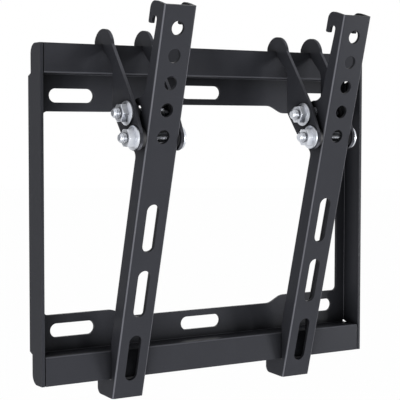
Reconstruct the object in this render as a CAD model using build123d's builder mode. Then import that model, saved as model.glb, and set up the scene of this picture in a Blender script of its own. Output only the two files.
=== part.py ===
"""Tilting wall bracket for a flat television.

A folded steel wall plate carries two arms. Each arm hangs from the plate's top band on a pair of hook
plates, tilts about a pivot bolt, and is held at its angle by a clamp bolt in an arc slot.

Frame: origin at the middle of the plate's wall face, +X to the right, +Y into the wall, +Z up.
The arms are drawn at full tilt, with their feet against the bottom band.
"""

import os
from math import cos, radians, sin, tan

from build123d import *

# Wall plate, a single folded sheet
plate_width = 240.0
plate_height = 200.0
plate_depth = 17.2
sheet = 2.0
bend_inside = 0.4
bend_outside = 1.5
band_height = 17.4
band_end_gap = 0.6
strip_width = 8.7
window_step_in = 55.0
window_step_run = 9.3
window_corner = 3.0
window_step_radius = 10.0
tab_setback = 4.6
tab_corner = 6.0
relief_length = 2.0

# Wall screw slots
screw_slot_length = 30.0
screw_slot_width = 8.3
end_slot_x = 92.0
end_slot_below_band = 8.45
end_slot_to_window = 5.35
middle_slot_below_band = 5.15
middle_slot_to_window = 3.85

# Arms, whose lower end is measured below the plate with the arm upright
arm_spacing = 127.2
arm_width = 21.4
arm_sheet = 2.0
arm_bend_inside = 0.4
arm_bend_outside = 1.5
arm_above_pivot = 77.9
arm_end_below_plate = 15.7
flange_depth = 8.5
neck_depth = 6.5
neck_above_lug = 12.0
full_tilt = 14.7
pivot_depth = 6.1
screw_hole = 8.2
screw_hole_count = 5
screw_hole_pitch = 15.7
top_hole_above_pivot = 64.9
screw_pattern = 200.0
arm_slot_length = 29.3
arm_slot_width = 8.2
arm_slot_count = 3
arm_slot_pitch = 41.0

# Arm top hook and foot
arm_hook_rise = 0.3
arm_hook_slot = 5.0
arm_hook_prong = 3.6
arm_hook_reach = 13.2
arm_hook_slot_depth = 5.0
arm_hook_corner = 5.0
arm_hook_slot_round = 2.0
arm_hook_prong_round = 1.0
stop_gap = 0.6
foot_gap = 1.0
foot_wall_gap = 0.6
foot_height = 10.0
foot_corner = 4.0
foot_toe_round = 1.0

# Tilt joint, with the pivot placed from the wall and from the middle of the plate
pivot_from_wall = 54.0
pivot_height = 45.2
clamp_radius = 16.0
clamp_angle = 27.8
clamp_margin = 1.0
lug_radius = 7.2
lug_pivot_radius = 11.5
lug_blend = 8.0
pivot_clearance = 0.08
clamp_clearance = 0.3

# Hook plates
hook_sheet = 2.0
hook_clearance = 0.25
hook_prong_width = 7.6
hook_prong_length = 10.0
hook_prong_round = 2.8
hook_rise = 9.2
hook_back_rise = 2.3
hook_front_reach = 10.8
hook_lip = 2.5
hook_standoff = 11.8
hook_standoff_drop = 13.7
heel_above_pivot = 15.5
heel_round = 6.0
belly_behind_pivot = 13.0
belly_round = 12.0
tail_radius = 7.5
tail_low_angle = -60.0
tail_front_angle = 155.0
boss_radius = 8.5
boss_angle = 145.0

# Fasteners, 6 mm bolts with low round heads, and flange nuts
bolt_diameter = 6.0
bolt_clearance = 0.1
bolt_head_diameter = 14.0
bolt_head_height = 3.3
bolt_head_crown = 1.6
bolt_head_crown_run = 4.0
neck_width = 6.0
neck_clearance = 0.1
bolt_tip_chamfer = 0.8
bolt_end = 3.8
nut_across_flats = 10.0
nut_height = 6.0
nut_bore_clearance = 0.05
flange_diameter = 14.2
flange_edge = 1.1
flange_slope = 25.0
hex_chamfer_inset = 0.25
hex_chamfer_slope = 30.0

# Washers between the arms and the hook plates
washer_diameter = 12.0
nut_side_washer = 2.8
head_side_washer = 0.8
washer_clearance = 0.05

# Places that several pieces share
band_front = -plate_depth
band_back = band_front + sheet
band_top = plate_height / 2
band_inner_edge = band_top - band_height
end_slot_z = band_inner_edge - end_slot_below_band - screw_slot_width / 2
middle_slot_z = band_inner_edge - middle_slot_below_band - screw_slot_width / 2
window_half_end = end_slot_z - screw_slot_width / 2 - end_slot_to_window
window_half_middle = middle_slot_z - screw_slot_width / 2 - middle_slot_to_window
pivot_y = -pivot_from_wall
arm_below_pivot = pivot_height + band_top + arm_end_below_plate
stop_y = band_front - stop_gap
nut_seat = -(arm_width / 2 + nut_side_washer + 2 * washer_clearance + hook_sheet)
head_seat = arm_width / 2 + head_side_washer + 2 * washer_clearance + hook_sheet
clamp_y = pivot_y + clamp_radius * sin(radians(clamp_angle))
clamp_z = pivot_height + clamp_radius * cos(radians(clamp_angle))
sides = {"left": -arm_spacing / 2, "right": arm_spacing / 2}


def nearest(sketch, *points):
    """The vertices of a sketch that lie closest to the given places, one for each."""
    return [sketch.vertices().sort_by_distance(Vector(*point))[0] for point in points]


def to_arm(y, z):
    """A place of the plate's frame, at full tilt, as depth and length from the arm's pivot."""
    back, up = y - pivot_y, z - pivot_height
    tilt = radians(full_tilt)
    return back * cos(tilt) + up * sin(tilt), up * cos(tilt) - back * sin(tilt)


def make_wall_plate():
    """The folded wall plate: side walls, screw bands at the wall, and hook bands stepped forward."""
    half_width = plate_width / 2
    inner_width = plate_width - 2 * (sheet + band_end_gap)
    with BuildPart() as plate:
        # Channel blank: the sheet against the wall and both side walls, with rounded bends
        with BuildSketch(Plane.XY.offset(-band_top)) as channel:
            Rectangle(plate_width, plate_depth, align=(Align.CENTER, Align.MAX))
            fillet(channel.vertices().group_by(Axis.Y)[-1], bend_outside)
            with BuildSketch(mode=Mode.SUBTRACT) as inside:
                with Locations((0, -sheet)):
                    Rectangle(plate_width - 2 * sheet, plate_depth, align=(Align.CENTER, Align.MAX))
                fillet(inside.vertices().group_by(Axis.Y)[-1], bend_inside)
        extrude(amount=plate_height)
        # Side outline: beside the bands the side walls are tabs, set forward from the wall
        with BuildSketch(Plane.YZ) as side_wall:
            with BuildLine():
                Polyline(
                    (0, 0), (0, band_inner_edge - relief_length), (-tab_setback, band_inner_edge),
                    (-tab_setback, band_top), (band_front, band_top), (band_front, 0), close=True,
                )
            make_face()
            fillet(nearest(side_wall, (-tab_setback, band_top)), tab_corner)
            mirror(about=Plane.XZ)
        extrude(amount=plate_width, both=True, mode=Mode.INTERSECT)
        # Each screw band steps forward into a hook band
        with BuildSketch(Plane.YZ) as step:
            with BuildLine():
                Polyline(
                    (0, middle_slot_z), (0, band_inner_edge + sheet), (band_back, band_inner_edge + sheet),
                    (band_back, band_top), (band_front, band_top), (band_front, band_inner_edge),
                    (-sheet, band_inner_edge), (-sheet, middle_slot_z), close=True,
                )
            make_face()
            fillet(nearest(step, (0, band_inner_edge + sheet), (band_front, band_inner_edge)), bend_outside)
            fillet(nearest(step, (band_back, band_inner_edge + sheet), (-sheet, band_inner_edge)), bend_inside)
            mirror(about=Plane.XZ)
        extrude(amount=inner_width / 2, both=True)
        # Window and wall screw slots
        with BuildSketch(Plane.XZ) as openings:
            window_half_width = half_width - strip_width
            step_out = window_step_in + window_step_run
            quarter = [
                (0, window_half_middle), (window_step_in, window_half_middle), (step_out, window_half_end),
                (window_half_width, window_half_end), (window_half_width, 0),
            ]
            with BuildLine():
                Polyline((0, 0), *quarter, close=True)
            make_face()
            fillet(nearest(openings, (window_half_width, window_half_end)), window_corner)
            fillet(nearest(openings, (window_step_in, window_half_middle), (step_out, window_half_end)),
                   window_step_radius)
            mirror(about=Plane.XZ)
            mirror(about=Plane.YZ)
            with GridLocations(2 * end_slot_x, 2 * end_slot_z, 2, 2):
                SlotOverall(screw_slot_length, screw_slot_width)
            with GridLocations(0, 2 * middle_slot_z, 1, 2):
                SlotOverall(screw_slot_length, screw_slot_width)
        extrude(amount=sheet, mode=Mode.SUBTRACT)
    return plate.part


def make_arm(centre):
    """One arm: a channel open to the wall, with a top hook, a tilt lug and a foot on both flanges."""
    tilt = radians(full_tilt)
    depth_direction, arm_direction = (0, cos(tilt), sin(tilt)), (0, -sin(tilt), cos(tilt))
    pivot = (centre, pivot_y, pivot_height)
    side_plane = Plane(origin=pivot, x_dir=depth_direction, z_dir=(1, 0, 0))
    section_plane = Plane(origin=pivot, x_dir=(1, 0, 0), z_dir=arm_direction)
    front_plane = Plane(origin=pivot, x_dir=(1, 0, 0), z_dir=tuple(-c for c in depth_direction))
    front, rear, neck = -pivot_depth, flange_depth - pivot_depth, neck_depth - pivot_depth
    bottom, top = -arm_below_pivot, arm_above_pivot
    blank_depth = pivot_depth + pivot_from_wall
    neck_start = clamp_radius + lug_radius + neck_above_lug
    hook_slot_back = neck + arm_hook_slot
    hook_back = hook_slot_back + arm_hook_prong
    hook_top = top + arm_hook_rise
    hook_tip = hook_top - arm_hook_reach
    hook_slot_top = hook_tip + arm_hook_slot_depth
    foot_top, foot_back = -band_top - foot_gap, -foot_wall_gap
    foot_heel = to_arm(foot_back, foot_top - foot_height)
    foot_toe = to_arm(foot_back, foot_top)
    foot_notch = to_arm(stop_y, foot_top)
    stop_start_z = pivot_height + (rear - (stop_y - pivot_y) * cos(tilt)) / sin(tilt)
    stop_start = to_arm(stop_y, stop_start_z)
    lug_ends = [clamp_angle - clamp_margin, clamp_angle + full_tilt + clamp_margin]
    tilt_arc = CenterArc((0, 0), clamp_radius, 90 - lug_ends[1], lug_ends[1] - lug_ends[0])
    with BuildPart() as arm:
        # Channel blank, deep and long enough to reach round the foot
        with BuildSketch(section_plane.offset(foot_heel[1])) as channel:
            with Locations((0, front)):
                Rectangle(arm_width, blank_depth, align=(Align.CENTER, Align.MIN))
            fillet(channel.vertices().group_by(Axis.Y)[0], arm_bend_outside)
            with BuildSketch(mode=Mode.SUBTRACT) as inside:
                with Locations((0, front + arm_sheet)):
                    Rectangle(arm_width - 2 * arm_sheet, blank_depth, align=(Align.CENTER, Align.MIN))
                fillet(inside.vertices().group_by(Axis.Y)[0], arm_bend_inside)
        extrude(amount=hook_top - foot_heel[1])
        # Side outline, which trims the web and both flanges
        with BuildSketch(side_plane) as outline:
            with BuildLine():
                Polyline(
                    (front, bottom), foot_heel, foot_toe, foot_notch, stop_start,
                    (rear, neck_start), (neck, hook_tip), (neck, hook_slot_top),
                    (hook_slot_back, hook_slot_top), (hook_slot_back, hook_tip), (hook_back, hook_tip),
                    (hook_back, hook_top), (neck, hook_top), (front, top), close=True,
                )
            make_face()
            fillet(nearest(outline, (hook_back, hook_top)), arm_hook_corner)
            fillet(nearest(outline, foot_heel), foot_corner)
            slot_corners = nearest(outline, (neck, hook_slot_top), (hook_slot_back, hook_slot_top))
            fillet(slot_corners, arm_hook_slot_round)
            fillet(nearest(outline, (hook_slot_back, hook_tip), (hook_back, hook_tip)), arm_hook_prong_round)
            fillet(nearest(outline, foot_toe), foot_toe_round)
            with BuildSketch() as lug:
                Circle(lug_pivot_radius)
                with PolarLocations(clamp_radius, 1, 90 - lug_ends[0]):
                    Circle(lug_radius)
                with PolarLocations(clamp_radius, 1, 90 - lug_ends[1]):
                    Circle(lug_radius)
                make_hull()
            junctions = [(rear, clamp_radius + lug_radius), (rear, -lug_pivot_radius)]
            fillet(nearest(outline, *junctions), lug_blend)
        extrude(amount=arm_width, both=True, mode=Mode.INTERSECT)
        # Pivot hole and arc slot through both flanges
        with BuildSketch(side_plane):
            Circle(bolt_diameter / 2 + pivot_clearance)
            SlotArc(tilt_arc, bolt_diameter + 2 * clamp_clearance)
        extrude(amount=arm_width, both=True, mode=Mode.SUBTRACT)
        # Screw holes and slots for the television, through the web
        with BuildSketch(front_plane.offset(pivot_depth)):
            for row in range(screw_hole_count):
                with Locations((0, top_hole_above_pivot - row * screw_hole_pitch)):
                    Circle(screw_hole / 2)
            for row in range(arm_slot_count):
                with Locations((0, top_hole_above_pivot - screw_pattern + row * arm_slot_pitch)):
                    SlotOverall(arm_slot_length, arm_slot_width, rotation=90)
        extrude(amount=-arm_sheet, mode=Mode.SUBTRACT)
    return arm.part


def cut_feet(whole_arm, centre):
    """The arm in front of the bottom band, and its two foot tabs, which reach under the band."""
    stop_plane = Plane(origin=(centre, stop_y, 0), x_dir=(1, 0, 0), z_dir=(0, 1, 0))
    with BuildPart() as feet:
        add(whole_arm)
        split(bisect_by=stop_plane, keep=Keep.TOP)
        with BuildSketch(stop_plane):
            Rectangle(arm_width - 2 * arm_sheet, 2 * plate_height)
        extrude(amount=pivot_from_wall, mode=Mode.SUBTRACT)
    with BuildPart() as channel:
        add(whole_arm)
        add(feet.part, mode=Mode.SUBTRACT)
    return channel.part, feet.solids().sort_by(Axis.X)


def make_hook_plate(left_face, square_holes):
    """One flat hook plate: a hook over the top band, a boss at the clamp bolt and a tail at the pivot bolt."""
    notch_front, notch_back = band_front - hook_clearance, band_back + hook_clearance
    prong_back = notch_back + hook_prong_width
    prong_tip = band_top - hook_prong_length
    dome_front = band_front - hook_front_reach
    dome_middle = (dome_front + prong_back) / 2
    dome_start, dome_end = (dome_front, band_top), (prong_back, band_top + hook_back_rise)
    rear_edge = band_front - hook_standoff
    relief = (rear_edge, band_top - hook_standoff_drop)
    heel = (rear_edge, pivot_height + heel_above_pivot)
    belly = (pivot_y + belly_behind_pivot, pivot_height)
    tail_low, tail_front = [
        (pivot_y + tail_radius * cos(radians(angle)), pivot_height + tail_radius * sin(radians(angle)))
        for angle in (tail_low_angle, tail_front_angle)
    ]
    boss = (clamp_y + boss_radius * cos(radians(boss_angle)), clamp_z + boss_radius * sin(radians(boss_angle)))
    with BuildPart() as hook:
        with BuildSketch(Plane.YZ.offset(left_face)) as outline:
            with BuildLine():
                Polyline(
                    dome_end, (prong_back, prong_tip), (notch_back, prong_tip), (notch_back, band_top),
                    (notch_front, band_top), (notch_front, band_top - hook_lip), relief, heel, belly,
                    tail_low, tail_front, boss, dome_start,
                )
                ThreePointArc(dome_start, (dome_middle, band_top + hook_rise), dome_end)
            make_face()
            fillet(nearest(outline, heel, relief), heel_round)
            fillet(nearest(outline, belly), belly_round)
            fillet(nearest(outline, boss), boss_radius)
            fillet(nearest(outline, (prong_back, prong_tip), (notch_back, prong_tip)), hook_prong_round)
            with Locations((pivot_y, pivot_height)):
                Circle(tail_radius)
            with Locations((pivot_y, pivot_height), (clamp_y, clamp_z)):
                if square_holes:
                    neck_hole = neck_width + 2 * neck_clearance
                    Rectangle(neck_hole, neck_hole, mode=Mode.SUBTRACT)
                else:
                    Circle(bolt_diameter / 2 + bolt_clearance, mode=Mode.SUBTRACT)
        extrude(amount=hook_sheet)
    return hook.part


def make_bolt(centre, y, z):
    """One bolt across an arm, with its low crowned head and square neck in the right-hand hook plate."""
    seat = Plane(origin=(centre + head_seat, y, z), x_dir=(0, 1, 0), z_dir=(1, 0, 0))
    with BuildPart() as bolt:
        with BuildSketch(seat):
            Circle(bolt_head_diameter / 2)
        extrude(amount=bolt_head_height)
        chamfer(bolt.edges().sort_by(Axis.X)[-1], bolt_head_crown, bolt_head_crown_run)
        with BuildSketch(seat):
            Rectangle(neck_width, neck_width)
        extrude(amount=-hook_sheet)
        with BuildSketch(seat):
            Circle(bolt_diameter / 2)
        extrude(amount=nut_seat - head_seat - nut_height - bolt_end)
        chamfer(bolt.edges().sort_by(Axis.X)[0], bolt_tip_chamfer)
    return bolt.part


def make_nut(centre, y, z):
    """One flange nut, seated on the left-hand hook plate: a chamfered hexagon on a conical flange."""
    seat = Plane(origin=(centre + nut_seat, y, z), x_dir=(0, 1, 0), z_dir=(-1, 0, 0))
    flange_radius, inner_radius = flange_diameter / 2, nut_across_flats / 2
    chamfer_start = inner_radius - hex_chamfer_inset
    chamfer_drop = (flange_radius - chamfer_start) * tan(radians(hex_chamfer_slope))
    with BuildPart() as nut:
        with BuildSketch(seat):
            Circle(flange_radius)
        extrude(amount=flange_edge)
        with BuildSketch(seat.offset(flange_edge)):
            Circle(flange_radius)
        extrude(amount=(flange_radius - inner_radius) * tan(radians(flange_slope)), taper=90 - flange_slope)
        with BuildSketch(seat):
            RegularPolygon(inner_radius, 6, major_radius=False)
        extrude(amount=nut_height)
        with BuildSketch(Plane(origin=seat.origin, x_dir=seat.x_dir, z_dir=-seat.y_dir)):
            with BuildLine():
                Polyline(
                    (chamfer_start, nut_height), (flange_radius, nut_height),
                    (flange_radius, nut_height - chamfer_drop), close=True,
                )
            make_face()
        revolve(axis=Axis(seat.origin, seat.z_dir), mode=Mode.SUBTRACT)
        with BuildSketch(seat):
            Circle(bolt_diameter / 2 + nut_bore_clearance)
        extrude(amount=nut_height, mode=Mode.SUBTRACT)
    return nut.part


def make_washer(left_face, thickness, y, z):
    """One plain washer between a hook plate and the arm."""
    with BuildPart() as washer:
        with BuildSketch(Plane(origin=(left_face, y, z), x_dir=(0, 1, 0), z_dir=(1, 0, 0))):
            Circle(washer_diameter / 2)
            Circle(bolt_diameter / 2 + bolt_clearance, mode=Mode.SUBTRACT)
        extrude(amount=thickness)
    return washer.part


pieces = {"wall_plate": make_wall_plate()}
for side, centre in sides.items():
    pieces[f"{side}_arm"], feet = cut_feet(make_arm(centre), centre)
    pieces[f"{side}_arm_foot_nut_side"], pieces[f"{side}_arm_foot_head_side"] = feet
    pieces[f"{side}_hook_plate_nut_side"] = make_hook_plate(centre + nut_seat, False)
    pieces[f"{side}_hook_plate_head_side"] = make_hook_plate(centre + head_seat - hook_sheet, True)
    nut_side_gap = centre - arm_width / 2 - washer_clearance - nut_side_washer
    head_side_gap = centre + arm_width / 2 + washer_clearance
    for role, y, z in (("pivot", pivot_y, pivot_height), ("clamp", clamp_y, clamp_z)):
        pieces[f"{side}_{role}_bolt"] = make_bolt(centre, y, z)
        pieces[f"{side}_{role}_nut"] = make_nut(centre, y, z)
        pieces[f"{side}_{role}_washer_nut_side"] = make_washer(nut_side_gap, nut_side_washer, y, z)
        pieces[f"{side}_{role}_washer_head_side"] = make_washer(head_side_gap, head_side_washer, y, z)

os.makedirs("parts", exist_ok=True)
for name, piece in pieces.items():
    piece.label = name
    export_step(piece, f"parts/{name}.step")
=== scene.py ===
"""Looks of a tilting television bracket: black powder coat, bright zinc and a white studio."""

import logging
import math
from dataclasses import dataclass
from enum import Enum
from typing import Any

import bmesh
import bpy
from mathutils import Matrix, Vector

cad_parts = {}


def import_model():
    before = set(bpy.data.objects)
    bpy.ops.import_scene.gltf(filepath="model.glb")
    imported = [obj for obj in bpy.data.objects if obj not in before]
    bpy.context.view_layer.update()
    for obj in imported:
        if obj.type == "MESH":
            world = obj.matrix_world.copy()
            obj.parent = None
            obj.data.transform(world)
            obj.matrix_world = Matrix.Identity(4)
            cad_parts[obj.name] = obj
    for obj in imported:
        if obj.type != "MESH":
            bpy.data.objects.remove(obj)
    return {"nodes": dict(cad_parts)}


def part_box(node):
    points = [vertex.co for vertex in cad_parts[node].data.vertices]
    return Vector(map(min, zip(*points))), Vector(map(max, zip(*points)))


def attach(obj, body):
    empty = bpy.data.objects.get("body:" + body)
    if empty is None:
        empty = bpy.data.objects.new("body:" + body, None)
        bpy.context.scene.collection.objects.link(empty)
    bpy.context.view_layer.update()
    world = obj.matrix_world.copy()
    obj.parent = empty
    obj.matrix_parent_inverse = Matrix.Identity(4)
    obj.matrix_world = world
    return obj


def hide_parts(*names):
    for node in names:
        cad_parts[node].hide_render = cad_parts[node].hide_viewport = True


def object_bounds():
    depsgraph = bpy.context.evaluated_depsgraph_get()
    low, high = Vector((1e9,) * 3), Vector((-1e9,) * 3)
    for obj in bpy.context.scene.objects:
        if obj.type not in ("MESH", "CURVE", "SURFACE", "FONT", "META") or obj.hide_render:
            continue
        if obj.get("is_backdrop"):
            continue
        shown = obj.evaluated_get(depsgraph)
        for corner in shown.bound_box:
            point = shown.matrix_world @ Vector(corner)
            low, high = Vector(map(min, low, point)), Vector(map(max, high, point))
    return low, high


LOG = logging.getLogger("bracket")
MM = 0.001

# Angles above which an edge stays sharp, on fasteners and on folded sheet
SHARP_DEG = 28.0
BEND_DEG = 40.0

# The mesh layer that carries the solids' own shading onto a joined sheet
KEPT_NORMALS = "solid_normal"

# The standard screen curve
CURVE_KNEE = 0.04045
CURVE_SLOPE = 12.92
CURVE_OFFSET = 0.055
CURVE_POWER = 2.4

# Sockets of a colour mix, whose names repeat for each kind of value
MIX_SHARE = 0
MIX_FIRST = 6
MIX_SECOND = 7
MIX_COLOUR = 2

# Rays sent for each sample by the patterns that feel for edges and for shelter
EDGE_RAYS = 6
SKY_RAYS = 8

# The camera, fitted to the photograph
FRAME_PX = 400
FOCAL_PX = 1275.6
SENSOR_MM = 36.0
CAMERA_PLACE_M = (-0.4434, -0.6833, 0.0515)
CAMERA_YAW_DEG = 33.02
CAMERA_DOWN_DEG = 3.28
CAMERA_ROLL_DEG = 0.06

Colour = tuple[float, float, float, float]
Point = tuple[float, float, float]


class Side(Enum):
    """The bracket's two arms, as seen from the front."""

    LEFT = "left"
    RIGHT = "right"


class Role(Enum):
    """The two bolts of each arm."""

    PIVOT = "pivot"
    CLAMP = "clamp"


class End(Enum):
    """The two ends of a bolt."""

    NUT = "nut_side"
    HEAD = "head_side"


def linear(code: str) -> Colour:
    """Turn a screen colour into the renderer's linear one.

    Args:
        code: A colour as #rrggbb.

    Returns:
        Linear red, green and blue, and full opacity.
    """
    shares = [int(code[i:i + 2], 16) / 255 for i in (1, 3, 5)]
    red, green, blue = (
        s / CURVE_SLOPE if s <= CURVE_KNEE else ((s + CURVE_OFFSET) / (1 + CURVE_OFFSET)) ** CURVE_POWER
        for s in shares
    )
    return red, green, blue, 1.0


def per_metre(size_mm: float) -> float:
    """Turn the size of a pattern's blots in millimetres into the scale that draws it."""
    return 1 / (size_mm * MM)


def ease(share: float) -> float:
    """Smooth a share that runs from 0 to 1, so that it starts and ends level."""
    return share * share * (3 - 2 * share)


def add_node(
    tree: bpy.types.NodeTree,
    kind: str,
    inputs: dict[str | int, Any] | None = None,
    **settings: Any,
) -> bpy.types.Node:
    """Add one node to a tree, with its settings and inputs.

    Args:
        tree: The node tree that takes it.
        kind: The node's type, such as ShaderNodeTexNoise.
        inputs: Values, or sockets to link from, by input name, or by place where names repeat.
        **settings: The node's own attributes.

    Returns:
        The new node.
    """
    node = tree.nodes.new(kind)
    for name, value in settings.items():
        setattr(node, name, value)
    for key, value in (inputs or {}).items():
        socket = node.inputs[key]
        if isinstance(value, bpy.types.NodeSocket):
            tree.links.new(value, socket)
        else:
            socket.default_value = value
    return node


def new_material(name: str) -> tuple[bpy.types.Material, bpy.types.NodeTree]:
    """Make an empty node material.

    Args:
        name: The material's name.

    Returns:
        The material and its cleared node tree.
    """
    material = bpy.data.materials.new(name)
    material.use_nodes = True
    material.node_tree.nodes.clear()
    return material, material.node_tree


def edge_share(
    tree: bpy.types.NodeTree, radius_mm: float
) -> tuple[bpy.types.NodeSocket, bpy.types.NodeSocket]:
    """Find the sharp edges of a surface.

    Args:
        tree: The node tree that takes the nodes.
        radius_mm: How far from an edge its rounding reaches, in millimetres.

    Returns:
        The rounded normal, and how far it leans from the face, from 0 on flats.
    """
    bevel = add_node(tree, "ShaderNodeBevel", {"Radius": radius_mm * MM}, samples=EDGE_RAYS)
    rounded = bevel.outputs["Normal"]
    face = add_node(tree, "ShaderNodeNewGeometry").outputs["Normal"]
    match = add_node(tree, "ShaderNodeVectorMath", {0: rounded, 1: face}, operation="DOT_PRODUCT")
    lean = add_node(
        tree, "ShaderNodeMath", {0: 1.0, 1: match.outputs["Value"]}, operation="SUBTRACT", use_clamp=True)
    return rounded, lean.outputs["Value"]


def open_share(tree: bpy.types.NodeTree, reach_mm: float, shut: float, clear: float) -> bpy.types.NodeSocket:
    """Tell the open places of a surface from its sheltered corners.

    Args:
        tree: The node tree that takes the nodes.
        reach_mm: How far away something still shelters, in millimetres.
        shut: The share of open sky that counts as fully sheltered.
        clear: The share of open sky that counts as fully open.

    Returns:
        The socket that is 0 in sheltered corners and 1 in the open.
    """
    sky = add_node(tree, "ShaderNodeAmbientOcclusion", {"Distance": reach_mm * MM}, samples=SKY_RAYS)
    share = add_node(tree, "ShaderNodeMapRange", {
        "Value": sky.outputs["AO"], "From Min": shut, "From Max": clear})
    return share.outputs["Result"]


def slant_share(tree: bpy.types.NodeTree, least: float, full: float, level: float) -> bpy.types.NodeSocket:
    """Find the bends and slanting cut edges of a folded sheet, whose flats face along its axes.

    Args:
        tree: The node tree that takes the nodes.
        least: The product of two parts of the normal at which a slant begins to count.
        full: The product at which it counts in full.
        level: How much a level bend counts, beside an upright one.

    Returns:
        The socket that is 0 on flats and 1 along upright bends.
    """
    facing = add_node(tree, "ShaderNodeTexCoord").outputs["Normal"]
    size = add_node(tree, "ShaderNodeVectorMath", {0: facing}, operation="ABSOLUTE")
    parts = add_node(tree, "ShaderNodeSeparateXYZ", {"Vector": size.outputs["Vector"]}).outputs
    shares = []
    for across, weight in (("X", 1.0), ("Z", level)):
        product = add_node(tree, "ShaderNodeMath", {0: parts[across], 1: parts["Y"]}, operation="MULTIPLY")
        share = add_node(tree, "ShaderNodeMapRange", {
            "Value": product.outputs["Value"], "From Min": least, "From Max": full, "To Max": weight})
        shares.append(share.outputs["Result"])
    most = add_node(tree, "ShaderNodeMath", {0: shares[0], 1: shares[1]}, operation="MAXIMUM")
    return most.outputs["Value"]


@dataclass(frozen=True)
class PowderCoat:
    """Matte black powder coat, sprayed dry on folded steel and melted to a skin."""

    # The melted skin gives the eye an even soft sheen and a faint mottle. Bends and cut edges carry a painted
    # highlight, a paler colour, and sheltered corners carry painted shade, a darker colour.
    name: str = "black_powder_coat"
    colour: str = "#35363b"
    mottle_colour: str = "#3a3b40"
    # Painted shade for sheltered corners
    painted_corner_shade_colour: str = "#101113"
    # Painted highlights along cut edges and along bends
    painted_edge_highlight_colour: str = "#5c5d64"
    painted_bend_highlight_colour: str = "#74757c"
    shelter_mm: float = 25.0
    shut_sky: float = 0.3
    clear_sky: float = 0.95
    bend_least: float = 0.32
    bend_full: float = 0.46
    level_bend_share: float = 0.5
    edge_mm: float = 0.5
    mottle_mm: float = 22.0
    mottle_layers: float = 3.0
    # Orange peel can be as fine as 0.3 mm. It is drawn coarser here, so that it shows.
    peel_mm: float = 0.7
    peel_layers: float = 1.5
    peel_height_mm: float = 0.012
    peel_strength: float = 0.5
    smoothest: float = 0.46
    roughest: float = 0.56
    gloss_level: float = 0.03
    satin_share: float = 0.07
    satin_roughness: float = 0.2

    def build(self) -> bpy.types.Material:
        """Make the material.

        Returns:
            The finished material.
        """
        material, tree = new_material(self.name)
        place = add_node(tree, "ShaderNodeTexCoord").outputs["Object"]
        mottle = add_node(tree, "ShaderNodeTexNoise", {
            "Vector": place, "Scale": per_metre(self.mottle_mm), "Detail": self.mottle_layers}).outputs["Fac"]
        peel = add_node(tree, "ShaderNodeTexNoise", {
            "Vector": place, "Scale": per_metre(self.peel_mm), "Detail": self.peel_layers}).outputs["Fac"]
        rounded, edge = edge_share(tree, self.edge_mm)
        slant = slant_share(tree, self.bend_least, self.bend_full, self.level_bend_share)
        open_air = open_share(tree, self.shelter_mm, self.shut_sky, self.clear_sky)
        colour: Any = linear(self.colour)
        # Mottle is a random tone; the edge and bend colours are painted highlights along cut edges and bends
        for share, code in (
            (mottle, self.mottle_colour), (edge, self.painted_edge_highlight_colour), (slant, self.painted_bend_highlight_colour),
        ):
            colour = add_node(tree, "ShaderNodeMix", {
                MIX_SHARE: share, MIX_FIRST: colour, MIX_SECOND: linear(code),
            }, data_type="RGBA").outputs[MIX_COLOUR]
        # Painted shade: a dark colour mixed into sheltered corners, where little open sky reaches
        colour = add_node(tree, "ShaderNodeMix", {
            MIX_SHARE: open_air, MIX_FIRST: linear(self.painted_corner_shade_colour), MIX_SECOND: colour,
        }, data_type="RGBA").outputs[MIX_COLOUR]
        roughness = add_node(tree, "ShaderNodeMapRange", {
            "Value": mottle, "To Min": self.smoothest, "To Max": self.roughest})
        bump = add_node(tree, "ShaderNodeBump", {
            "Height": peel, "Normal": rounded, "Strength": self.peel_strength,
            "Distance": self.peel_height_mm * MM})
        shader = add_node(tree, "ShaderNodeBsdfPrincipled", {
            "Base Color": colour, "Roughness": roughness.outputs["Result"],
            "Specular IOR Level": self.gloss_level, "Normal": bump.outputs["Normal"],
            "Coat Weight": self.satin_share, "Coat Roughness": self.satin_roughness, "Coat Normal": rounded})
        add_node(tree, "ShaderNodeOutputMaterial", {"Surface": shader.outputs["BSDF"]})
        return material


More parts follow.
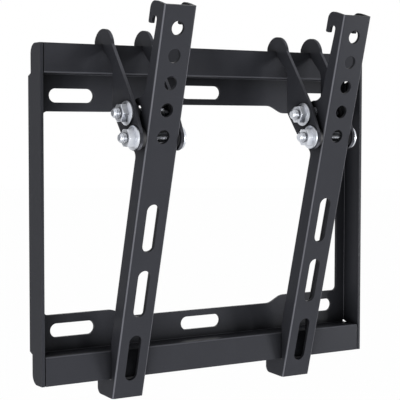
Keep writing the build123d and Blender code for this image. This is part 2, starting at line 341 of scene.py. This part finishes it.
@dataclass(frozen=True)
class ZincPlate:
    """Bright bluish zinc, plated on cold-formed steel."""

    # The thin plating gives the eye a cool bright metal with a cloudy bloom and blurred reflections.
    # Sheltered hollows carry painted shade, a dark colour mixed in where little open sky reaches.
    name: str = "zinc_plated_steel"
    colour: str = "#b9bec8"
    bright_colour: str = "#e4e6eb"
    # Painted shade for sheltered hollows, such as the shank inside the arm
    painted_hollow_shade_colour: str = "#2a2b2f"
    shelter_mm: float = 14.0
    shut_sky: float = 0.25
    clear_sky: float = 0.8
    edge_mm: float = 0.25
    bloom_mm: float = 3.0
    bloom_layers: float = 4.0
    # Marks of the forming tools are mostly finer than 0.1 mm. They are drawn coarser here, so that they show.
    mark_mm: float = 0.35
    mark_layers: float = 2.0
    mark_height_mm: float = 0.01
    mark_strength: float = 0.4
    metallic: float = 1.0
    smoothest: float = 0.28
    roughest: float = 0.45

    def build(self) -> bpy.types.Material:
        """Make the material.

        Returns:
            The finished material.
        """
        material, tree = new_material(self.name)
        place = add_node(tree, "ShaderNodeTexCoord").outputs["Object"]
        bloom = add_node(tree, "ShaderNodeTexNoise", {
            "Vector": place, "Scale": per_metre(self.bloom_mm), "Detail": self.bloom_layers}).outputs["Fac"]
        marks = add_node(tree, "ShaderNodeTexNoise", {
            "Vector": place, "Scale": per_metre(self.mark_mm), "Detail": self.mark_layers}).outputs["Fac"]
        rounded, _ = edge_share(tree, self.edge_mm)
        open_air = open_share(tree, self.shelter_mm, self.shut_sky, self.clear_sky)
        unshaded_zinc = add_node(tree, "ShaderNodeMix", {
            MIX_SHARE: bloom, MIX_FIRST: linear(self.colour), MIX_SECOND: linear(self.bright_colour),
        }, data_type="RGBA").outputs[MIX_COLOUR]
        # Painted shade: a dark colour mixed into sheltered hollows, where little open sky reaches
        colour = add_node(tree, "ShaderNodeMix", {
            MIX_SHARE: open_air, MIX_FIRST: linear(self.painted_hollow_shade_colour), MIX_SECOND: unshaded_zinc,
        }, data_type="RGBA").outputs[MIX_COLOUR]
        roughness = add_node(tree, "ShaderNodeMapRange", {
            "Value": bloom, "To Min": self.smoothest, "To Max": self.roughest})
        bump = add_node(tree, "ShaderNodeBump", {
            "Height": marks, "Normal": rounded, "Strength": self.mark_strength,
            "Distance": self.mark_height_mm * MM})
        shader = add_node(tree, "ShaderNodeBsdfPrincipled", {
            "Base Color": colour, "Metallic": self.metallic, "Roughness": roughness.outputs["Result"],
            "Normal": bump.outputs["Normal"]})
        add_node(tree, "ShaderNodeOutputMaterial", {"Surface": shader.outputs["BSDF"]})
        return material


@dataclass(frozen=True)
class BlackNylon:
    """Black nylon, moulded and coloured all through."""

    # The moulded plastic gives the eye an even, dull black, a little soft at the edges.
    name: str = "black_nylon"
    colour: str = "#1d1d20"
    edge_mm: float = 0.2
    roughness: float = 0.55

    def build(self) -> bpy.types.Material:
        """Make the material.

        Returns:
            The finished material.
        """
        material, tree = new_material(self.name)
        rounded, _ = edge_share(tree, self.edge_mm)
        shader = add_node(tree, "ShaderNodeBsdfPrincipled", {
            "Base Color": linear(self.colour), "Roughness": self.roughness, "Normal": rounded})
        add_node(tree, "ShaderNodeOutputMaterial", {"Surface": shader.outputs["BSDF"]})
        return material


def paint(node: bpy.types.Object, material: bpy.types.Material) -> None:
    """Give a CAD node one material all over.

    Args:
        node: The node's object.
        material: Its finish.
    """
    node.data.materials.clear()
    node.data.materials.append(material)


def finish_shell(
    shell: bmesh.types.BMesh, name: str, material: bpy.types.Material, sharp_deg: float
) -> bpy.types.Object:
    """Turn a finished shell into a shaded object.

    Args:
        shell: The shell, which is freed.
        name: The object's name.
        material: Its finish.
        sharp_deg: The angle above which an edge stays sharp.

    Returns:
        The new object, in the scene.
    """
    bmesh.ops.recalc_face_normals(shell, faces=shell.faces)
    mesh = bpy.data.meshes.new(name)
    shell.to_mesh(mesh)
    shell.free()
    mesh.materials.append(material)
    mesh.shade_smooth()
    mesh.set_sharp_from_angle(angle=math.radians(sharp_deg))
    piece = bpy.data.objects.new(name, mesh)
    bpy.context.scene.collection.objects.link(piece)
    return piece


@dataclass
class WallPlate:
    """The folded sheet that is screwed to the wall."""

    nodes: dict[str, bpy.types.Object]
    coat: bpy.types.Material

    def dress(self) -> list[str]:
        """Coat the plate.

        Returns:
            The name of the piece.
        """
        plate = "wall_plate"
        paint(self.nodes[plate], self.coat)
        return [plate]


@dataclass
class TvArm:
    """One arm, which the television is screwed to: a single folded sheet with its two feet."""

    side: Side
    nodes: dict[str, bpy.types.Object]
    coat: bpy.types.Material
    weld_mm: float = 0.01
    tilt_deg: float = 14.7

    # The flanges' rear edges, from the pivot towards the wall, and how much deeper the photograph shows them
    rear_mm: float = 2.4
    deeper_mm: float = 1.6

    # Where the lug runs out into the rear edges, from the pivot along the arm
    lug_run_out_start_mm: float = -9.7
    lug_run_out_end_mm: float = -16.5

    # How much closer to the bottom band the photograph shows the feet, and how far down that is taken up
    foot_lift_mm: float = 0.6
    foot_lift_reach_mm: float = 2.0

    def build(self) -> list[str]:
        """Join the arm's solid and its feet's solids into one sheet, with no seam between them.

        Returns:
            The name of the piece.
        """
        arm = f"{self.side.value}_arm"
        feet = [f"{arm}_foot_{end.value}" for end in End]
        (_, stop_y, _), (_, _, foot_top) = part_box(feet[0])
        shell = self.join((arm, *feet), stop_y, foot_top)
        self.lift_feet(shell, stop_y, foot_top)
        self.deepen_flanges(shell, stop_y)
        sheet = finish_shell(shell, f"{arm}_sheet", self.coat, BEND_DEG)
        kept = sheet.data.attributes[KEPT_NORMALS]
        sheet.data.normals_split_custom_set([tuple(corner.vector) for corner in kept.data])
        sheet.data.attributes.remove(kept)
        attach(sheet, f"{self.side.value}_tv_arm")
        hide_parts(arm, *feet)
        return [sheet.name]

    def join(self, names: tuple[str, ...], stop_y: float, foot_top: float) -> bmesh.types.BMesh:
        """Weld the solids together, and take out the faces where they meet.

        Args:
            names: The arm's node and its feet's nodes.
            stop_y: Where the feet begin, and the flanges end flat against the bottom band.
            foot_top: The height of the feet's upper edges.

        Returns:
            The joined shell, with the solids' shading in a layer.
        """
        weld = self.weld_mm * MM
        shell = bmesh.new()
        for name in names:
            solid = self.nodes[name].data.copy()
            kept = solid.attributes.new(KEPT_NORMALS, "FLOAT_VECTOR", "CORNER")
            for corner, normal in zip(kept.data, solid.corner_normals):
                corner.vector = normal.vector
            shell.from_mesh(solid)
            bpy.data.meshes.remove(solid)
        whole = shell.verts[:] + shell.edges[:] + shell.faces[:]
        bmesh.ops.bisect_plane(shell, geom=whole, plane_co=(0, 0, foot_top), plane_no=(0, 0, 1))
        bmesh.ops.remove_doubles(shell, verts=shell.verts, dist=weld)
        hidden = [
            face for face in shell.faces
            if all(abs(vert.co.y - stop_y) < weld for vert in face.verts)
            and face.calc_center_median().z < foot_top
        ]
        bmesh.ops.delete(shell, geom=hidden, context="FACES")
        return shell

    def lift_feet(self, shell: bmesh.types.BMesh, stop_y: float, foot_top: float) -> None:
        """Bring the feet's upper edges closer to the bottom band.

        Args:
            shell: The arm's sheet at full tilt.
            stop_y: Where the feet begin.
            foot_top: The height of the feet's upper edges.
        """
        weld = self.weld_mm * MM
        for vert in shell.verts:
            share = 1 - (foot_top - vert.co.z) / (self.foot_lift_reach_mm * MM)
            if vert.co.y > stop_y - weld and vert.co.z < foot_top + weld and share > 0:
                vert.co.z += self.foot_lift_mm * MM * share

    def deepen_flanges(self, shell: bmesh.types.BMesh, stop_y: float) -> None:
        """Bring the flanges' rear edges closer to the wall, from the lug down to the bottom band.

        Args:
            shell: The arm's sheet at full tilt.
            stop_y: Where the flanges end flat against the bottom band.
        """
        low, high = (Vector(corner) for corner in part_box(f"{self.side.value}_pivot_bolt"))
        lean = math.radians(self.tilt_deg)
        along = Vector((0, -math.sin(lean), math.cos(lean)))
        inward = Vector((0, math.cos(lean), math.sin(lean)))
        run_out = self.lug_run_out_start_mm - self.lug_run_out_end_mm
        weld = self.weld_mm * MM
        for vert in shell.verts:
            place = (vert.co - (low + high) / 2) / MM
            share = (self.lug_run_out_start_mm - place.dot(along)) / run_out
            on_rear_edge = place.dot(inward) > self.rear_mm - self.weld_mm
            if share <= 0 or not on_rear_edge or vert.co.y > stop_y + weld:
                continue
            if vert.co.y > stop_y - weld:
                vert.co.z += self.deeper_mm * MM / math.sin(lean)
            else:
                vert.co += inward * self.deeper_mm * MM * ease(min(1.0, share))


@dataclass(frozen=True)
class RoundBolt:
    """One 6 mm bolt with a low round head and a rolled thread, in place of its plain solid."""

    side: Side
    role: Role
    thread_mm: float = 6.0
    core_mm: float = 4.9
    pitch_mm: float = 1.0
    thread_length_mm: float = 33.0
    tip_chamfer_mm: float = 1.1
    root_share: float = 0.12
    flank_share: float = 0.72
    neck_mm: float = 6.0
    neck_length_mm: float = 2.0
    head_mm: float = 14.0
    head_height_mm: float = 3.3
    head_edge_mm: float = 1.2
    crown_rings: int = 9
    segments: int = 48
    rings_per_turn: int = 8

    def thread_reach(self, height: float, angle: float) -> float:
        """Measure the threaded shank from its axis.

        Args:
            height: The distance from the tip in millimetres.
            angle: The direction in radians.

        Returns:
            The distance to the thread's flank, crest or root in millimetres.
        """
        crest, root = self.thread_mm / 2, self.core_mm / 2
        if height < self.thread_length_mm:
            turn = (height / self.pitch_mm - angle / math.tau) % 1
            rise = (abs(2 * turn - 1) - self.root_share) / self.flank_share
            crest = root + (crest - root) * min(1.0, max(0.0, rise))
        return min(crest, self.thread_mm / 2 - self.tip_chamfer_mm + height)

    def rings(self, shank_mm: float) -> list[list[Point]]:
        """Lay out the bolt from its tip to the last ring of its crown.

        Args:
            shank_mm: The length from the tip to the head's seat.

        Returns:
            Rings of points in millimetres, with x measured from the tip.
        """
        angles = [math.tau * i / self.segments for i in range(self.segments)]
        step = self.pitch_mm / self.rings_per_turn
        neck_start = shank_mm - self.neck_length_mm
        heights = [i * step for i in range(int(self.thread_length_mm / step) + 1)] + [neck_start]
        profile = [[(h, self.thread_reach(h, a)) for a in angles] for h in heights]
        square = [self.neck_mm / 2 / max(abs(math.cos(a)), abs(math.sin(a))) for a in angles]
        profile += [[(h, reach) for reach in square] for h in (neck_start, shank_mm)]
        head = [(shank_mm, self.head_mm / 2)]
        for i in range(self.crown_rings):
            turn = math.pi / 2 * i / self.crown_rings
            rise = self.head_edge_mm + (self.head_height_mm - self.head_edge_mm) * math.sin(turn)
            head.append((shank_mm + rise, self.head_mm / 2 * math.cos(turn)))
        profile += [[point] * self.segments for point in head]
        return [
            [(x, reach * math.cos(a), reach * math.sin(a)) for (x, reach), a in zip(ring, angles)]
            for ring in profile
        ]

    def build(self, zinc: bpy.types.Material) -> str:
        """Model the bolt where its solid is, and let it ride with the hanger.

        Args:
            zinc: Its finish.

        Returns:
            The name of the piece.
        """
        node = f"{self.side.value}_{self.role.value}_bolt"
        low, high = (Vector(corner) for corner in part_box(node))
        tip = Vector((low.x, (low.y + high.y) / 2, (low.z + high.z) / 2))
        shank_mm = (high.x - low.x) / MM - self.head_height_mm
        shell = bmesh.new()
        rings = [
            [shell.verts.new(tip + Vector(point) * MM) for point in ring]
            for ring in self.rings(shank_mm)
        ]
        for lower, upper in zip(rings, rings[1:]):
            for i in range(self.segments):
                j = (i + 1) % self.segments
                shell.faces.new((lower[i], lower[j], upper[j], upper[i]))
        top = shell.verts.new(Vector((high.x, tip.y, tip.z)))
        for i in range(self.segments):
            shell.faces.new((rings[-1][i], rings[-1][(i + 1) % self.segments], top))
        shell.faces.new(rings[0])
        bolt = finish_shell(shell, f"{node}_threaded", zinc, SHARP_DEG)
        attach(bolt, f"{self.side.value}_hanger")
        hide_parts(node)
        return bolt.name


@dataclass
class Hanger:
    """The hook plates that carry one arm, with their bolts, nuts and washers."""

    side: Side
    nodes: dict[str, bpy.types.Object]
    coat: bpy.types.Material
    zinc: bpy.types.Material
    nylon: bpy.types.Material

    def dress(self) -> list[str]:
        """Coat the hook plates, plate the fasteners and darken the washers.

        Returns:
            The names of the pieces.
        """
        finishes = {f"{self.side.value}_hook_plate_{end.value}": self.coat for end in End}
        for role in Role:
            stem = f"{self.side.value}_{role.value}"
            finishes[f"{stem}_nut"] = self.zinc
            for end in End:
                finishes[f"{stem}_washer_{end.value}"] = self.nylon
        for name, finish in finishes.items():
            paint(self.nodes[name], finish)
        return [*finishes, *(RoundBolt(self.side, role).build(self.zinc) for role in Role)]


@dataclass(frozen=True)
class Lamp:
    """One square soft box."""

    name: str
    place_m: Point
    size_m: float
    power_w: float

    def add(self, target: Vector) -> None:
        """Hang the lamp, facing a point.

        Args:
            target: The point that it faces.
        """
        light = bpy.data.lights.new(self.name, "AREA")
        light.shape = "SQUARE"
        light.size = self.size_m
        light.energy = self.power_w
        lamp = bpy.data.objects.new(self.name, light)
        lamp.location = self.place_m
        lamp.rotation_euler = (target - lamp.location).to_track_quat("-Z", "Y").to_euler()
        bpy.context.scene.collection.objects.link(lamp)


@dataclass(frozen=True)
class Studio:
    """White surroundings, a pale floor well below the bracket, soft boxes and the photograph's camera."""

    lamps: tuple[Lamp, ...] = (
        Lamp("key_softbox", (1.1, -0.86, -0.1), 0.35, 11.0),
        Lamp("fill_softbox", (-0.85, -0.85, -0.35), 0.7, 10.5),
        Lamp("rear_softbox", (0.5, 1.2, 0.4), 0.8, 5.0),
    )
    surround_colour: str = "#ffffff"
    surround_strength: float = 0.22
    shown_strength: float = 1.0
    floor_colour: str = "#f2f2f2"
    floor_glow: float = 0.99
    floor_drop_m: float = 0.45
    floor_radius_m: float = 12.0
    floor_segments: int = 96

    def build(self, low: Vector, high: Vector) -> None:
        """Set up the whole studio.

        Args:
            low: The object's lowest corner.
            high: The object's highest corner.
        """
        self.add_surround()
        self.add_floor(low.z - self.floor_drop_m)
        for lamp in self.lamps:
            lamp.add((low + high) / 2)
        self.add_camera()
        bpy.context.scene.view_settings.view_transform = "Standard"

    def seen_rays(self, tree: bpy.types.NodeTree) -> bpy.types.NodeSocket:
        """Tell the rays that show a surface, directly or mirrored, from those that only light one.

        Args:
            tree: The node tree that takes the nodes.

        Returns:
            The socket that is 1 for a camera, glossy or transmission ray.
        """
        path = add_node(tree, "ShaderNodeLightPath").outputs
        seen = path["Is Camera Ray"]
        for ray in ("Is Glossy Ray", "Is Transmission Ray"):
            either = add_node(tree, "ShaderNodeMath", {0: seen, 1: path[ray]}, operation="MAXIMUM")
            seen = either.outputs["Value"]
        return seen

    def add_surround(self) -> None:
        """Light the scene from all round, and show pure white to the camera and in reflections."""
        world = bpy.data.worlds.new("white_studio")
        world.use_nodes = True
        tree = world.node_tree
        tree.nodes.clear()
        strength = add_node(tree, "ShaderNodeMapRange", {
            "Value": self.seen_rays(tree), "To Min": self.surround_strength, "To Max": self.shown_strength})
        surround = add_node(tree, "ShaderNodeBackground", {
            "Color": linear(self.surround_colour), "Strength": strength.outputs["Result"]})
        add_node(tree, "ShaderNodeOutputWorld", {"Surface": surround.outputs["Background"]})
        bpy.context.scene.world = world

    def add_floor(self, height: float) -> None:
        """Lay the pale floor, lifted towards white for the camera so that only a soft shadow shows.

        Args:
            height: The floor's height in metres.
        """
        mesh = bpy.data.meshes.new("studio_floor")
        disc = bmesh.new()
        bmesh.ops.create_circle(
            disc, cap_ends=True, segments=self.floor_segments, radius=self.floor_radius_m,
            matrix=Matrix.Translation((0, 0, height)))
        disc.to_mesh(mesh)
        disc.free()
        floor = bpy.data.objects.new("studio_floor", mesh)
        bpy.context.scene.collection.objects.link(floor)
        material, tree = new_material("pale_floor")
        pale = add_node(tree, "ShaderNodeBsdfDiffuse", {"Color": linear(self.floor_colour)})
        glow = add_node(tree, "ShaderNodeEmission", {"Color": linear(self.surround_colour)})
        share = add_node(tree, "ShaderNodeMapRange", {
            "Value": self.seen_rays(tree), "To Max": self.floor_glow})
        mix = add_node(tree, "ShaderNodeMixShader", {
            "Fac": share.outputs["Result"], 1: pale.outputs["BSDF"], 2: glow.outputs["Emission"]})
        add_node(tree, "ShaderNodeOutputMaterial", {"Surface": mix.outputs["Shader"]})
        mesh.materials.append(material)
        floor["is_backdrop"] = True

    def add_camera(self) -> None:
        """Place the camera that was fitted to the photograph."""
        yaw, down = math.radians(CAMERA_YAW_DEG), math.radians(CAMERA_DOWN_DEG)
        forward = Vector((math.sin(yaw) * math.cos(down), math.cos(yaw) * math.cos(down), -math.sin(down)))
        lens = bpy.data.cameras.new("photo_camera")
        lens.sensor_width = SENSOR_MM
        lens.lens = FOCAL_PX / FRAME_PX * SENSOR_MM
        camera = bpy.data.objects.new("photo_camera", lens)
        roll = Matrix.Rotation(math.radians(CAMERA_ROLL_DEG), 4, "Z")
        turn = forward.to_track_quat("-Z", "Y").to_matrix().to_4x4()
        camera.matrix_world = Matrix.Translation(CAMERA_PLACE_M) @ turn @ roll
        bpy.context.scene.collection.objects.link(camera)
        bpy.context.scene.camera = camera


def main() -> None:
    """Load the frame, dress every node, report each piece and set up the studio."""
    logging.basicConfig(level=logging.INFO)
    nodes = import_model()["nodes"]
    cad_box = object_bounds()
    low, high = (Vector(corner) for corner in cad_box)
    coat, zinc, nylon = PowderCoat().build(), ZincPlate().build(), BlackNylon().build()
    pieces = WallPlate(nodes, coat).dress()
    for side in Side:
        pieces += TvArm(side, nodes, coat).build()
        pieces += Hanger(side, nodes, coat, zinc, nylon).dress()
    for piece in pieces:
        LOG.info("dressed %s", piece)
    Studio().build(low, high)
    LOG.info("dressed %d nodes as %d pieces", len(nodes), len(pieces))


if __name__ == "__main__":
    main()
